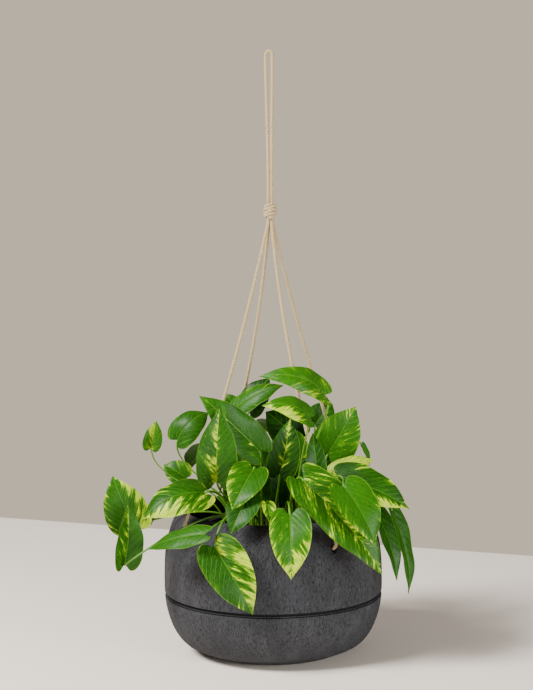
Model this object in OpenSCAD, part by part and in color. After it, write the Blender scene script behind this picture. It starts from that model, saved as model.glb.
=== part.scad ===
/* [Pot] */
// outside width of the pot at its widest
pot_w = 300; // [260:1:340]
// height of the pot from foot to the top of its lip
pot_h = 195; // [170:1:220]
// wall thickness of the pot
wall = 12; // [8:0.5:16]
// height of the middle of the scored groove
groove_z = 81; // [60:1:110]
// width of the scored groove
groove_w = 5.5; // [3:0.5:9]
// depth of the scored groove
groove_deep = 3.5; // [2:0.5:5]

/* [Cord holes] */
// width of each cord hole
hole_w = 7.5; // [6.5:0.5:12]
// height of the cord holes
hole_z = 163; // [150:1:170]
// turn of the first hole from the front towards the right
hole_turn = 34; // [0:1:89]

/* [Hanger] */
// bearing point of the hook above the foot of the pot
hang_h = 813; // [700:1:1000]
// cord thickness
cord_w = 4.5; // [4:0.5:6]
// underside of the gathering knot above the foot of the pot
knot_z = 590; // [540:1:640]
// height of the gathering knot
knot_h = 24; // [20:1:30]

/* [Grow pot] */
// outside width of the grow pot at its rim
grow_w = 204; // [180:1:214]
// height of the grow pot
grow_h = 158; // [120:1:160]
// height of the potting mix above the foot of the pot
mix_z = 162; // [130:1:165]

/* [Plant] */
// thickness of a leaf at its middle
leaf_t = 1.4; // [1:0.1:2]
// thickness of a leaf stalk
stalk_w = 3; // [2:0.5:4]

/* [Hidden] */
$fn = 96;

r_pot = pot_w / 2;
r_cord = cord_w / 2;
r_stalk = stalk_w / 2;
// how far each slack cord hangs inside its straight line
SAG = [20, 8, 18, 7];
turns = [hole_turn, hole_turn + 90, hole_turn + 180, hole_turn + 270];

// each leaf: where its stalk leaves the mix and how high it starts off upright,
// the point the stalk heads for, the leaf's base, the leaf's tip,
// its width, where its face looks (turn from the front, tilt up), its arch and its fold
LEAVES = [
    [[ 35,   8, 110], [ 88, -42, 331], [ 71, -52, 357], [-15, -84, 388], 39, [  0, 35],  24, -0.15],
    [[-20,  28, 100], [-40,  38, 292], [-32,  38, 324], [ -3,  46, 370], 44, [-25, 20],   6,  0.10],
    [[-30,  20, 100], [-58,  18, 295], [-50,  10, 333], [ 15,   0, 366], 34, [  0, 45],   6, -0.20],
    [[-15,   0,  60], [-14, -50, 248], [-17, -62, 284], [-94, -78, 362], 50, [-10, 35],   8,  0.15],
    [[-40, -20,  50], [-66, -65, 215], [-74, -80, 246], [-69, -92, 345], 54, [  5, 10],   6,  0.20],
    [[-55,  15,  60], [-136, 22, 243], [-131, 22, 287], [-88,  40, 323], 44, [-10, 30],  14, -0.22],
    [[-65,   0,  60], [-160,  0, 230], [-166,  0, 279], [-158,  0, 317], 26, [ 10, 10],   3,  0.20],
    [[-60,  35,  50], [-110, 50, 215], [-120, 50, 229], [-152, 60, 247], 36, [-10, 40],   4,  0.15],
    [[-50, -30,  45], [-72, -84, 238], [-90, -88, 234], [-172, -106, 204], 58, [-15, 45], 16, -0.25],
    [[-45, -45,  60], [-156, -38, 192], [-187, -52, 181], [-214, -60, 251], 60, [-10, 20], 6, 0.15],
    [[-42, -58, 90], [-198, -148, 145], [-197, -90, 138], [-191, -90, 217], 40, [30, 10], 6, 0.40],
    [[-36, -68,  60], [-80, -138, 196], [-88, -160, 193], [-163, -125, 168], 34, [-10, 50], 4, -0.10],
    [[-16, -64,  60], [-66, -125, 232], [-76, -150, 174], [-27, -172,  90], 60, [  0, 15],  8,  0.15],
    [[ 15, -60,  50], [ 20, -110, 240], [ 22, -135, 212], [ 23, -168, 135], 54, [  0, 20], 10,  0.15],
    [[ 22, -40,  60], [ 30, -88, 262], [ 40, -118, 254], [142, -150, 138], 66, [ 15, 35], 12,  0.15],
    [[ 44, -48,  70], [ 98, -95, 275], [ 91, -140, 250], [131, -168, 180], 58, [ 25, 30], 10,  0.15],
    [[ 45, -20,  60], [ 80, -50, 235], [ 87, -60, 247], [181, -82, 209], 55, [ 12, 38],  11,  0.12],
    [[ 50,   0,  60], [ 70, -10, 215], [ 78, -10, 238], [138, -10, 263], 34, [  0, 45],   6,  0.10],
    [[ 60, -10,  60], [130, -40, 240], [138, -60, 202], [165, -90, 114], 30, [ 40, 10],   8,  0.30],
    [[ 65,  10,  60], [150, -10, 240], [161, -40, 198], [184, -62,  89], 29, [ 48, 12],   7,  0.25],
    [[ 40,   5,  60], [ 65,  20, 230], [ 76,  20, 266], [115,  10, 333], 62, [  5, 20],   8,  0.15],
    [[ 30, -42,  80], [ 44, -97, 302], [ 50, -90, 332], [-12, -117, 354], 37, [  0, 40],  16, -0.20],
    [[ 20,  40,  80], [ 38,  50, 250], [ 37,  50, 283], [ -8,  60, 321], 56, [  0, 25],   6,  0.15],
    [[  2, -20,  40], [  7, -40, 220], [ 10, -44, 250], [ 24, -48, 325], 42, [  0, 10],   5,  0.25],
    [[ 22,  20,  60], [ 42,   8, 235], [ 40,   8, 265], [ 30,   8, 304], 34, [ 60, 10],   3,  0.10],
    [[-20, -45,  50], [-22, -85, 275], [-25, -100, 266], [-52, -140, 220], 50, [-10, 30], 8,  0.20],
    [[-25, -50,  40], [-28, -100, 245], [-31, -120, 236], [-54, -150, 191], 42, [-10, 25], 5, 0.15],
    [[ -5, -65,  30], [ -7, -110, 235], [ -8, -128, 226], [ -4, -144, 204], 19, [ 20, 20], 3, 0.30],
    [[ 70,  20,  60], [120,  30, 290], [124,  30, 277], [135,  30, 247], 14, [ 60, 10],   2,  0.30],
    [[ 45,  45,  80], [ 60,  75, 270], [ 61,  80, 299], [ 86,  90, 327], 40, [ 10, 25],   4,  0.15],
    [[ 50,  35,  50], [ 68,  75, 215], [ 72,  80, 235], [ 90,  95, 256], 34, [ 10, 30],   4,  0.15],
    [[-15,  45,  60], [-45,  60, 236], [-50,  60, 267], [-85,  76, 301], 48, [-10, 30],   6,  0.15],
    [[-32,  32, 100], [-48,  30, 300], [-46,  32, 326], [-67,  38, 349], 22, [  0, 35],   3,  0.15],
    [[-28,  -6,  40], [-34,  -2, 205], [-36,  -4, 230], [-44,   0, 288], 44, [ -5, 10],   4,  0.15],
    [[ 35,  30,  50], [ 50,  45, 210], [ 52,  45, 228], [ 55,  55, 285], 44, [  5, 10],   4,  0.15],
    [[-20,  60,  60], [-30, 110, 240], [-32, 130, 225], [-58, 165, 155], 52, [190, 30],   8,  0.15],
    [[ 15,  60,  60], [ 25, 105, 260], [ 28, 125, 246], [ 38, 170, 175], 56, [175, 35],   8,  0.15],
    [[ 40,  60,  60], [ 65, 105, 225], [ 72, 120, 212], [ 95, 160, 150], 48, [155, 30],   6,  0.15],
    [[-60,  45,  60], [-112, 70, 225], [-128, 78, 208], [-175, 98, 155], 50, [240, 35],   8,  0.15],
    [[  0,  50,  90], [  0,  88, 290], [  0,  98, 302], [ 15, 142, 265], 52, [180, 50],   8,  0.15],
    [[ 70,  35,  60], [120,  45, 245], [136,  46, 228], [180,  70, 172], 50, [105, 35],   8,  0.15],
    [[-45,  50,  80], [-78,  85, 265], [-86,  90, 268], [-120, 120, 228], 48, [220, 45],  8,  0.15],
    [[ 32, -62,  40], [ 57, -94, 232], [ 59, -101, 252], [ 53, -90, 312], 27, [  5, 10],   4,  0.20],
    [[-24,  12,  12], [-21,  11, 190], [-20,  10, 204], [-21,   7, 268], 38, [  0,  5],   3,  0.08]
];

// steps along a leaf, its half width there and how far its edges lag behind
ALONG = [0, 0.02, 0.06, 0.15, 0.3, 0.47, 0.65, 0.83, 0.98];
HALF = [0.09, 0.34, 0.70, 0.93, 1.00, 0.90, 0.66, 0.33, 0.03];
LAG = [0, 0.12, 0.13, 0.09, 0.05, 0.02, 0, 0, 0];
STALK_STEPS = 8;

// how much the grow pot narrows to its floor, its wall, and the drop from the hook to the loop's centre
GROW_TAPER = 0.76;
GROW_WALL = 1.6;
HOOK_DROP = 2.25;

// foot, belly, shoulder and lip of the pot as radius and height
POT_OUT = [
    [0, 0], [84, 0], [96, 2], [107, 6.5], [120, 12.5], [128, 19], [134, 27], [139.5, 37], [144, 49],
    [147.5, 63], [149.5, 78], [150, 95], [150, 112], [149.2, 128], [147.6, 143], [144.8, 157],
    [141.5, 169], [138, 179], [133.5, 187], [128, 192.5], [122, 195], [117.5, 194],
    [115, 190.5], [115, 186]
];
// inside of the pot from under the lip to the floor
POT_IN = [
    [116.5, 181], [121, 176], [126, 169], [130.5, 158], [134.5, 146], [137, 132], [138, 112], [137.8, 92],
    [136, 76], [132.5, 60], [127, 45], [119, 31], [108, 20], [95, 14], [84, wall], [0, wall]
];

function unit(v) = v / norm(v);
function flat(v, t) = unit(v - t * (v * t));
function along(path, i) = unit(path[min(i + 1, len(path) - 1)] - path[max(i - 1, 0)]);
function carried(path, side, i) =
    i == 0
        ? [flat(side, along(path, 0))]
        : concat(carried(path, side, i - 1), [flat(side, along(path, i))]);
function ring(c, a, b, r, n) = [for (k = [0:n - 1]) c + a * (r * cos(k * 360 / n)) + b * (r * sin(k * 360 / n))];
function bend(p0, p1, p2, p3, t) =
    p0 * pow(1 - t, 3) + p1 * (3 * t * pow(1 - t, 2)) + p2 * (3 * t * t * (1 - t)) + p3 * pow(t, 3);

// skin over a stack of rings that all have n points
module skin(rings, n) {
    last = len(rings) - 1;
    points = [for (r = rings) each r];
    sides = [
        for (i = [0:last - 1], k = [0:n - 1])
            each [
                [i * n + k, i * n + (k + 1) % n, (i + 1) * n + k],
                [i * n + (k + 1) % n, (i + 1) * n + (k + 1) % n, (i + 1) * n + k]
            ]
    ];
    first_cap = [for (k = [1:n - 2]) [0, k + 1, k]];
    last_cap = [for (k = [1:n - 2]) [last * n, last * n + k, last * n + k + 1]];
    polyhedron(points = points, faces = concat(sides, first_cap, last_cap));
}

// round cord along a list of points, with one side direction given
module tube(path, side, r, n = 10) {
    sides = carried(path, side, len(path) - 1);
    skin([for (i = [0:len(path) - 1]) ring(path[i], sides[i], cross(along(path, i), sides[i]), r, n)], n);
}

// moves the origin from the foot of the pot to the bearing point of the hook
module hung() {
    translate([0, 0, -hang_h])
        children();
}

// a leaf's stalk rises upright from the mix and bends over to its blade; a hair's gap parts the two solids
module leaf(n) {
    row = LEAVES[n - 1];
    root = [row[0][0], row[0][1], mix_z];
    start = root + [0, 0, 4];
    rise = root + [0, 0, row[0][2]];
    base = row[2];
    neck = base - unit(base - row[1]) * 4;
    stalk = [for (i = [0:STALK_STEPS]) bend(start, rise, row[1], neck, i / STALK_STEPS)];
    wide = row[4] / 2;
    length = norm(row[3] - base);
    u = unit(row[3] - base);
    up = flat([sin(row[5][0]) * cos(row[5][1]), -cos(row[5][0]) * cos(row[5][1]), sin(row[5][1])], u);
    side = cross(u, up);
    arch = row[6];
    fold = row[7];
    function blade(i, s, over) =
        base + u * (length * (ALONG[i] - LAG[i] * s * s)) + side * (s * wide * HALF[i])
        + up * (4 * arch * ALONG[i] * (1 - ALONG[i]) + fold * s * s * wide * HALF[i] + over * leaf_t / 2);
    function blade_ring(i) = [
        blade(i, -1, 0.4), blade(i, -0.5, 0.8), blade(i, 0, 1), blade(i, 0.5, 0.8), blade(i, 1, 0.4),
        blade(i, 1, -0.4), blade(i, 0.5, -0.8), blade(i, 0, -1), blade(i, -0.5, -0.8), blade(i, -1, -0.4)
    ];
    color([0.25, 0.5, 0.15])
        hung() {
            tube(concat([root], stalk), [1, 0, 0], r_stalk, 6);
            skin([for (i = [0:len(ALONG) - 1]) blade_ring(i)], 10);
        }
}

module cord_holes() {
    clear = 10;
    deep = 60;
    for (t = turns)
        rotate([0, 0, t])
            translate([0, -(r_pot + clear), hole_z])
                rotate([-90, 0, 0])
                    cylinder(h = deep, d = hole_w, $fn = 32);
}

module pot_outline() {
    polygon(concat([for (p = POT_OUT) [p[0] * r_pot / 150, p[1] * pot_h / 195]], POT_IN));
}

module pot_shell() {
    color([0.3, 0.3, 0.31])
        hung()
            difference() {
                rotate_extrude($fn = 128)
                    pot_outline();
                rotate_extrude($fn = 128)
                    translate([r_pot - groove_deep, groove_z - groove_w / 2])
                        square([groove_deep + 5, groove_w]);
                cord_holes();
            }
}

// thin-walled pot with a turned-out rim and drain holes in its floor
module grow_pot() {
    r_top = grow_w / 2;
    r_low = r_top * GROW_TAPER;
    rim_w = 5;
    rim_h = 10;
    drain_w = 9;
    drain_r = r_low - 22;
    color([0.1, 0.1, 0.1])
        hung()
            translate([0, 0, wall])
                difference() {
                    rotate_extrude()
                        polygon([
                            [0, 0], [r_low, 0], [r_top - rim_w, grow_h - rim_h], [r_top, grow_h - rim_h],
                            [r_top, grow_h], [r_top - rim_w - GROW_WALL, grow_h], [r_low - GROW_WALL, GROW_WALL],
                            [0, GROW_WALL]
                        ]);
                    for (t = [0:45:315])
                        rotate([0, 0, t])
                            translate([drain_r, 0, -1])
                                cylinder(h = GROW_WALL + 2, d = drain_w, $fn = 24);
                }
}

// fills the grow pot, clear of its wall, with a worn top edge
module potting_mix() {
    r_top = grow_w / 2 - 8.6;
    r_low = grow_w / 2 * GROW_TAPER - 2.2;
    edge = 3.4;
    floor_z = wall + 2;
    color([0.2, 0.13, 0.08])
        hung()
            rotate_extrude()
                polygon([[0, floor_z], [r_low, floor_z], [r_top, mix_z - 3], [r_top - edge, mix_z], [0, mix_z]]);
}

// the cord hangs with a little slack, lies over the shoulder and turns in through its hole
module cord(n) {
    knot_r = 3.9;
    shoulder_r = 141.2;
    shoulder_z = 190;
    under_knot = 2;
    pitch = 14;
    top = knot_z - under_knot;
    lean = (shoulder_r - knot_r) / (top - shoulder_z);
    function part_way(z) = (top - z) / (top - shoulder_z);
    straight = [
        for (z = [top:-pitch:200])
            [0, -(knot_r + lean * (top - z) - 4 * SAG[n] * part_way(z) * (1 - part_way(z))), z]
    ];
    over = [
        [0, -141.4, 188], [0, -144.2, 180], [0, -146.8, 172.5], [0, -147.6, 168.5], [0, -146.4, 165],
        [0, -143, hole_z], [0, -138, hole_z], [0, -131.5, hole_z], [0, -127, hole_z]
    ];
    color([0.85, 0.79, 0.67])
        hung()
            rotate([0, 0, turns[n]])
                tube(concat(straight, over), [1, 0, 0], r_cord);
}

// a loop of cord pulled tight against the inside of the wall
module stopper(n) {
    seat_r = 121;
    loop_r = 5;
    loop_tilt = 12;
    core_w = 8;
    core_long = 11.8;
    core_back = 6;
    color([0.85, 0.79, 0.67])
        hung()
            rotate([0, 0, turns[n]])
                translate([0, -seat_r, hole_z])
                    rotate([90, 0, 0])
                        union() {
                            rotate([loop_tilt, 0, 0])
                                rotate_extrude($fn = 48)
                                    translate([loop_r, 0])
                                        circle(d = cord_w, $fn = 24);
                            translate([0, 0, -core_back])
                                cylinder(h = core_long, d = core_w, $fn = 32);
                        }
}

// the wraps climb round the gathered cords and rise to the right in front
module knot_wrap() {
    wraps = 3.6;
    climb = 4.515;
    rise = 0.28;
    r = 6.6;
    start = 200;
    first_z = knot_z + 4.6;
    path = [
        for (a = [0:20:wraps * 360])
            [r * cos(a + start), r * sin(a + start), first_z + climb * a / 360 + rise * r * cos(a + start)]
    ];
    color([0.87, 0.81, 0.69])
        hung()
            tube(path, [0, 0, 1], r_cord, 8);
}

module knot_core() {
    core_r = 3.8;
    color([0.85, 0.79, 0.67])
        hung()
            translate([0, 0, knot_z])
                cylinder(h = knot_h, r = core_r, $fn = 40);
}

// half the gap between the loop's legs, as distance below the hook and half gap
LEG_GAP = [
    [0.2, 4.5], [14, 4.5], [30, 4.4], [48, 4.1], [68, 3.7], [90, 3.3], [112, 2.9], [134, 2.7],
    [156, 2.7], [176, 2.7]
];

// one leg of the loop, from under the hook to just above the knot; s is its side
module loop_leg(s) {
    top = hang_h - HOOK_DROP;
    above_knot = 1.5;
    path = concat(
        [for (g = LEG_GAP) [s * g[1], 0, top - g[0]]],
        [[s * 2.7, 0, knot_z + knot_h + above_knot]]
    );
    color([0.86, 0.8, 0.68])
        hung()
            tube(path, [0, 1, 0], r_cord, 12);
}

// the bend of the loop that lies over the hook
module loop_crown() {
    spread = 132;
    color([0.86, 0.8, 0.68])
        translate([0, 0, -HOOK_DROP])
            rotate([90, 0, 0])
                rotate([0, 0, (180 - spread) / 2])
                    rotate_extrude(angle = spread, $fn = 96)
                        translate([LEG_GAP[0][1], 0])
                            circle(d = cord_w, $fn = 32);
}

pot_shell();
grow_pot();
potting_mix();
cord(0);  // cord_front_right
cord(1);  // cord_back_right
cord(2);  // cord_back_left
cord(3);  // cord_front_left
stopper(0);  // stopper_front_right
stopper(1);  // stopper_back_right
stopper(2);  // stopper_back_left
stopper(3);  // stopper_front_left
knot_wrap();
knot_core();
loop_leg(-1);  // loop_leg_left
loop_leg(1);  // loop_leg_right
loop_crown();
leaf(1);  // leaf_01
leaf(2);  // leaf_02
leaf(3);  // leaf_03
leaf(4);  // leaf_04
leaf(5);  // leaf_05
leaf(6);  // leaf_06
leaf(7);  // leaf_07
leaf(8);  // leaf_08
leaf(9);  // leaf_09
leaf(10);  // leaf_10
leaf(11);  // leaf_11
leaf(12);  // leaf_12
leaf(13);  // leaf_13
leaf(14);  // leaf_14
leaf(15);  // leaf_15
leaf(16);  // leaf_16
leaf(17);  // leaf_17
leaf(18);  // leaf_18
leaf(19);  // leaf_19
leaf(20);  // leaf_20
leaf(21);  // leaf_21
leaf(22);  // leaf_22
leaf(23);  // leaf_23
leaf(24);  // leaf_24
leaf(25);  // leaf_25
leaf(26);  // leaf_26
leaf(27);  // leaf_27
leaf(28);  // leaf_28
leaf(29);  // leaf_29
leaf(30);  // leaf_30
leaf(31);  // leaf_31
leaf(32);  // leaf_32
leaf(33);  // leaf_33
leaf(34);  // leaf_34
leaf(35);  // leaf_35
leaf(36);  // leaf_36
leaf(37);  // leaf_37
leaf(38);  // leaf_38
leaf(39);  // leaf_39
leaf(40);  // leaf_40
leaf(41);  // leaf_41
leaf(42);  // leaf_42
leaf(43);  // leaf_43
leaf(44);  // leaf_44
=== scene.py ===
"""A hanging fibre-clay planter on a cotton hanger, with a variegated trailing plant in it."""

import math

import bpy
import numpy as np
from mathutils import Matrix, Vector


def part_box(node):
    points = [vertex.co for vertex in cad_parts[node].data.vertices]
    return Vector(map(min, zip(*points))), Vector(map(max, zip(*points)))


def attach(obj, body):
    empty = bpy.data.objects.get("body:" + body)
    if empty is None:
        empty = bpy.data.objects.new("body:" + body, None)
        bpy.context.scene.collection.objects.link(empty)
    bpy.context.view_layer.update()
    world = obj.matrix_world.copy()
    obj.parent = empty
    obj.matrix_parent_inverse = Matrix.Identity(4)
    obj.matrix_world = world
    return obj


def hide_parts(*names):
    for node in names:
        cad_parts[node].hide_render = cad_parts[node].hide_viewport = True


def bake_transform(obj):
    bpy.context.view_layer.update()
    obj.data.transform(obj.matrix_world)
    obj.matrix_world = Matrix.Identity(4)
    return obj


MM = 0.001
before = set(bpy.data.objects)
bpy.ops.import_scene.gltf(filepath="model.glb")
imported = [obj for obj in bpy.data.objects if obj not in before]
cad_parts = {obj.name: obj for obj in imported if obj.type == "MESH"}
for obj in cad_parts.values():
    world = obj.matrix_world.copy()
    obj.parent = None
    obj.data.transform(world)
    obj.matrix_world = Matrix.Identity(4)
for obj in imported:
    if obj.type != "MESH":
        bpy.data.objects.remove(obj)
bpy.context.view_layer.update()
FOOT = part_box("pot_shell")[0].z  # height of the pot's foot, in metres
scene = bpy.context.scene


def spot(x, y, z):
    """A point given in millimetres from the axis and above the foot of the pot."""
    return Vector((x * MM, y * MM, FOOT + z * MM))


# ---- camera and light, in metres and radians ----

LENS = 120.9  # focal length in millimetres, for a sensor 36 mm wide
EYE = (-0.0065, -2.422, -0.152)
PITCH = 0.0992
ROLL = -0.0085
ROOM_TINT, ROOM_LEVEL = (1.0, 0.88, 0.76, 1), 0.27
WALL = (0.67, 0.575, 0.455, 1)


def add_camera():
    """Just over the planter's middle, looking a little down on it."""
    data = bpy.data.cameras.new("camera")
    data.sensor_fit = "HORIZONTAL"
    data.sensor_width = 36
    data.lens = LENS
    camera = bpy.data.objects.new("camera", data)
    turn = Matrix.Rotation(math.pi / 2 - PITCH, 4, "X") @ Matrix.Rotation(ROLL, 4, "Z")
    camera.matrix_world = Matrix.Translation(EYE) @ turn
    scene.collection.objects.link(camera)
    scene.camera = camera


def add_light(name, place, aim, size, watts, colour):
    """A round soft light at a place, turned to what it aims at."""
    data = bpy.data.lights.new(name, "AREA")
    data.shape = "DISK"
    data.size = size
    data.energy = watts
    data.color = colour
    light = bpy.data.objects.new(name, data)
    light.location = place
    light.rotation_euler = (Vector(aim) - Vector(place)).to_track_quat("-Z", "Y").to_euler()
    scene.collection.objects.link(light)


def add_world():
    """A soft warm light all round, with a plain wall where the camera sees past the floor."""
    world = bpy.data.worlds.new("studio")
    world.use_nodes = True
    n = Nodes(world.node_tree)
    light = world.node_tree.nodes["Background"]
    light.inputs["Color"].default_value = ROOM_TINT
    light.inputs["Strength"].default_value = ROOM_LEVEL
    wall = n.add("ShaderNodeBackground", Color=WALL, Strength=1.0)
    seen = n.add("ShaderNodeLightPath").outputs["Is Camera Ray"]
    both = n.add("ShaderNodeMixShader")
    for socket, value in zip(both.inputs, (seen, light.outputs[0], wall.outputs[0]), strict=True):
        n.put(socket, value)
    n.put(world.node_tree.nodes["World Output"].inputs["Surface"], both.outputs[0])
    scene.world = world


# ---- mesh helpers ----

SPAN_STEPS = 12  # points worked out between two given points of a smooth line


def mesh_object(name, verts, faces):
    """A smooth-shaded object in the scene."""
    mesh = bpy.data.meshes.new(name)
    mesh.from_pydata([tuple(v) for v in verts], [], faces)
    mesh.validate()
    mesh.polygons.foreach_set("use_smooth", [True] * len(mesh.polygons))
    mesh.update()
    ob = bpy.data.objects.new(name, mesh)
    scene.collection.objects.link(ob)
    return ob


def set_uv(ob, name, per_vertex):
    """A UV map from one pair per vertex."""
    layer = ob.data.uv_layers.new(name=name)
    loops = np.zeros(len(ob.data.loops), np.int32)
    ob.data.loops.foreach_get("vertex_index", loops)
    layer.data.foreach_set("uv", np.asarray(per_vertex, np.float32)[loops].ravel())


def distance_along(line):
    """How far each point of a line is from its start, along the line."""
    return np.concatenate([[0], np.cumsum(np.linalg.norm(np.diff(line, axis=0), axis=1))])


def smooth_line(points, step):
    """Equally spaced points along a smooth curve through the given ones."""
    p = np.array([tuple(q) for q in points], float)
    p = np.vstack([2 * p[0] - p[1], p, 2 * p[-1] - p[-2]])
    fine = []
    for a, b, c, d in zip(p, p[1:], p[2:], p[3:], strict=False):
        for t in np.linspace(0, 1, SPAN_STEPS, endpoint=False):
            square, cube = 2 * a - 5 * b + 4 * c - d, 3 * b - a - 3 * c + d
            fine.append(0.5 * (2 * b + (c - a) * t + square * t**2 + cube * t**3))
    fine = np.array([*fine, p[-2]])
    run = distance_along(fine)
    n = max(2, round(run[-1] / step))
    at = np.linspace(0, run[-1], n + 1)
    return np.column_stack([np.interp(at, run, fine[:, k]) for k in range(3)])


def carried_sides(line):
    """Two directions square to a line and to each other, carried along it without twist."""
    ahead = np.gradient(line, axis=0)
    ahead /= np.linalg.norm(ahead, axis=1)[:, None]
    first = np.cross(ahead[0], (0, 0, 1) if abs(ahead[0][2]) < 0.9 else (1, 0, 0))
    sides = [first / np.linalg.norm(first)]
    for t in ahead[1:]:
        s = sides[-1] - t * (sides[-1] @ t)
        sides.append(s / np.linalg.norm(s))
    a = np.array(sides)
    return a, np.cross(ahead, a)


def turn_steps(around):
    """Equal steps of a full turn, in radians."""
    return np.arange(around) * 2 * np.pi / around


def ring_faces(rings, around):
    """Faces between rings of vertices. Each end is closed by a fan to a vertex that follows the last ring."""
    faces = []
    last, m = (rings - 1) * around, around
    for low in range(0, last, m):
        faces += [(low + k, low + (k + 1) % m, low + m + (k + 1) % m, low + m + k) for k in range(m)]
    faces += [(last + m, (k + 1) % m, k) for k in range(m)]
    faces += [(last + m + 1, last + k, last + (k + 1) % m) for k in range(m)]
    return faces


def tube_rings(line, radii, around):
    """Verts, faces of a closed tube. radii has one row per point and one column per step around."""
    a, b = carried_sides(line)
    turn = turn_steps(around)
    out = a[:, None, :] * np.cos(turn)[None, :, None] + b[:, None, :] * np.sin(turn)[None, :, None]
    rings = line[:, None, :] + radii[:, :, None] * out
    return [*rings.reshape(-1, 3), line[0], line[-1]], ring_faces(len(line), around)


# ---- node helpers ----


class Nodes:
    """Short ways to build a material's or a group's nodes."""

    def __init__(self, tree):
        self.tree = tree

    def add(self, kind, settings=(), **inputs):
        """A new node. Its inputs are given by name, with _ for a space."""
        node = self.tree.nodes.new(kind)
        for key, value in dict(settings).items():
            setattr(node, key, value)
        for key, value in inputs.items():
            self.put(node.inputs[key.replace("_", " ")], value)
        return node

    def put(self, socket, value):
        """Links another node's output to a socket, or sets it to a value."""
        if isinstance(value, bpy.types.NodeSocket):
            self.tree.links.new(value, socket)
        else:
            socket.default_value = value

    def math(self, op, *values):
        node = self.add("ShaderNodeMath", {"operation": op})
        for socket, value in zip(node.inputs, values, strict=False):
            self.put(socket, value)
        return node.outputs[0]

    def plus(self, a, b):
        return self.math("ADD", a, b)

    def minus(self, a, b):
        return self.math("SUBTRACT", a, b)

    def times(self, a, b):
        return self.math("MULTIPLY", a, b)

    def times_plus(self, a, b, c):
        """a times b, plus c."""
        return self.math("MULTIPLY_ADD", a, b, c)

    def step(self, value, low, high):
        """0 below low, 1 above high, smooth between."""
        node = self.add("ShaderNodeMapRange", {"interpolation_type": "SMOOTHSTEP"})
        for key, v in (("Value", value), ("From Min", low), ("From Max", high)):
            self.put(node.inputs[key], v)
        return node.outputs["Result"]

    def vector(self, x=0.0, y=0.0, z=0.0):
        node = self.add("ShaderNodeCombineXYZ")
        for socket, value in zip(node.inputs, (x, y, z), strict=True):
            self.put(socket, value)
        return node.outputs[0]

    def split(self, vector):
        return self.add("ShaderNodeSeparateXYZ", Vector=vector).outputs

    def noise(self, vector, scale, detail=2.0, rough=0.5, bend=0.0):
        """Smooth noise from 0 to 1; scale is in cells per metre where vector is a place."""
        settings = {"Scale": scale, "Detail": detail, "Roughness": rough, "Distortion": bend}
        return self.add("ShaderNodeTexNoise", Vector=vector, **settings).outputs["Fac"]

    def scaled(self, vector, x, y, z):
        node = self.add("ShaderNodeMapping", Vector=vector)
        node.inputs["Scale"].default_value = (x, y, z)
        return node.outputs[0]

    def mix(self, amount, a, b):
        """Colour a where amount is 0 and b where it is 1. The colour sockets are 6, 7 and output 2."""
        node = self.add("ShaderNodeMix", {"data_type": "RGBA"})
        for index, value in ((0, amount), (6, a), (7, b)):
            self.put(node.inputs[index], value)
        return node.outputs[2]

    def bump(self, height, strength, distance):
        return self.add("ShaderNodeBump", Height=height, Strength=strength, Distance=distance).outputs[0]


def colour(r, g, b):
    """A colour given as sRGB from 0 to 255."""
    return (*[(c / 255) ** 2.2 for c in (r, g, b)], 1)


def material(name, roughness, specular):
    """A new material, with its node helper and its shader."""
    mat = bpy.data.materials.new(name)
    mat.use_nodes = True
    shader = mat.node_tree.nodes["Principled BSDF"]
    shader.inputs["Roughness"].default_value = roughness
    shader.inputs["Specular IOR Level"].default_value = specular
    return mat, Nodes(mat.node_tree), shader


def finish_with(ob, mat):
    """Gives a piece its one material."""
    ob.data.materials.append(mat)


# ---- cotton cord ----

CORD = 4.5 * MM
PLIES = 3
LAY = 13 * MM  # the length of one full twist
VALLEY = 0.82  # how far out the cord reaches between its plies, as a share of its radius
ROPE_STEP = 1.0 * MM


def cord_material():
    """Twisted cotton: light yarn, painted shade in the crease between the plies and a little fluff."""
    mat, n, shader = material("cotton_cord", 0.92, 0.2)
    uv = n.add("ShaderNodeUVMap", {"uv_map": "strand"}).outputs["UV"]
    place = n.add("ShaderNodeTexCoord").outputs["Object"]
    around, along, _ = n.split(uv)
    fibres = n.noise(n.vector(n.times(around, 26.0), n.times(along, 120.0)), 1.0, 3.0, 0.6)
    wave = n.math("SINE", n.plus(n.times(around, 12.6), n.times(along, 5200.0)))
    yarn = n.times_plus(wave, 0.5, 0.5)
    ply_gap_shade = n.math("ABSOLUTE", n.math("SINE", n.times(around, math.pi * PLIES)))
    fluff = n.noise(place, 900.0, 3.0, 0.6)
    blotch = n.noise(place, 22.0, 2.0)
    tone = n.mix(n.step(fibres, 0.3, 0.72), colour(150, 127, 84), colour(198, 177, 132))
    tone = n.mix(n.step(blotch, 0.35, 0.75), tone, colour(174, 151, 106))
    # Painted shade in the crease between the plies.
    tone = n.mix(n.times(n.step(ply_gap_shade, 0.35, 0.0), 0.65), tone, colour(74, 58, 34))
    n.put(shader.inputs["Base Color"], tone)
    height = n.plus(n.times(yarn, 0.5), n.plus(fibres, n.times(fluff, 0.6)))
    n.put(shader.inputs["Normal"], n.bump(height, 0.8, 0.0004))
    shader.inputs["Sheen Weight"].default_value = 0.35
    shader.inputs["Sheen Roughness"].default_value = 0.6
    return mat


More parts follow.
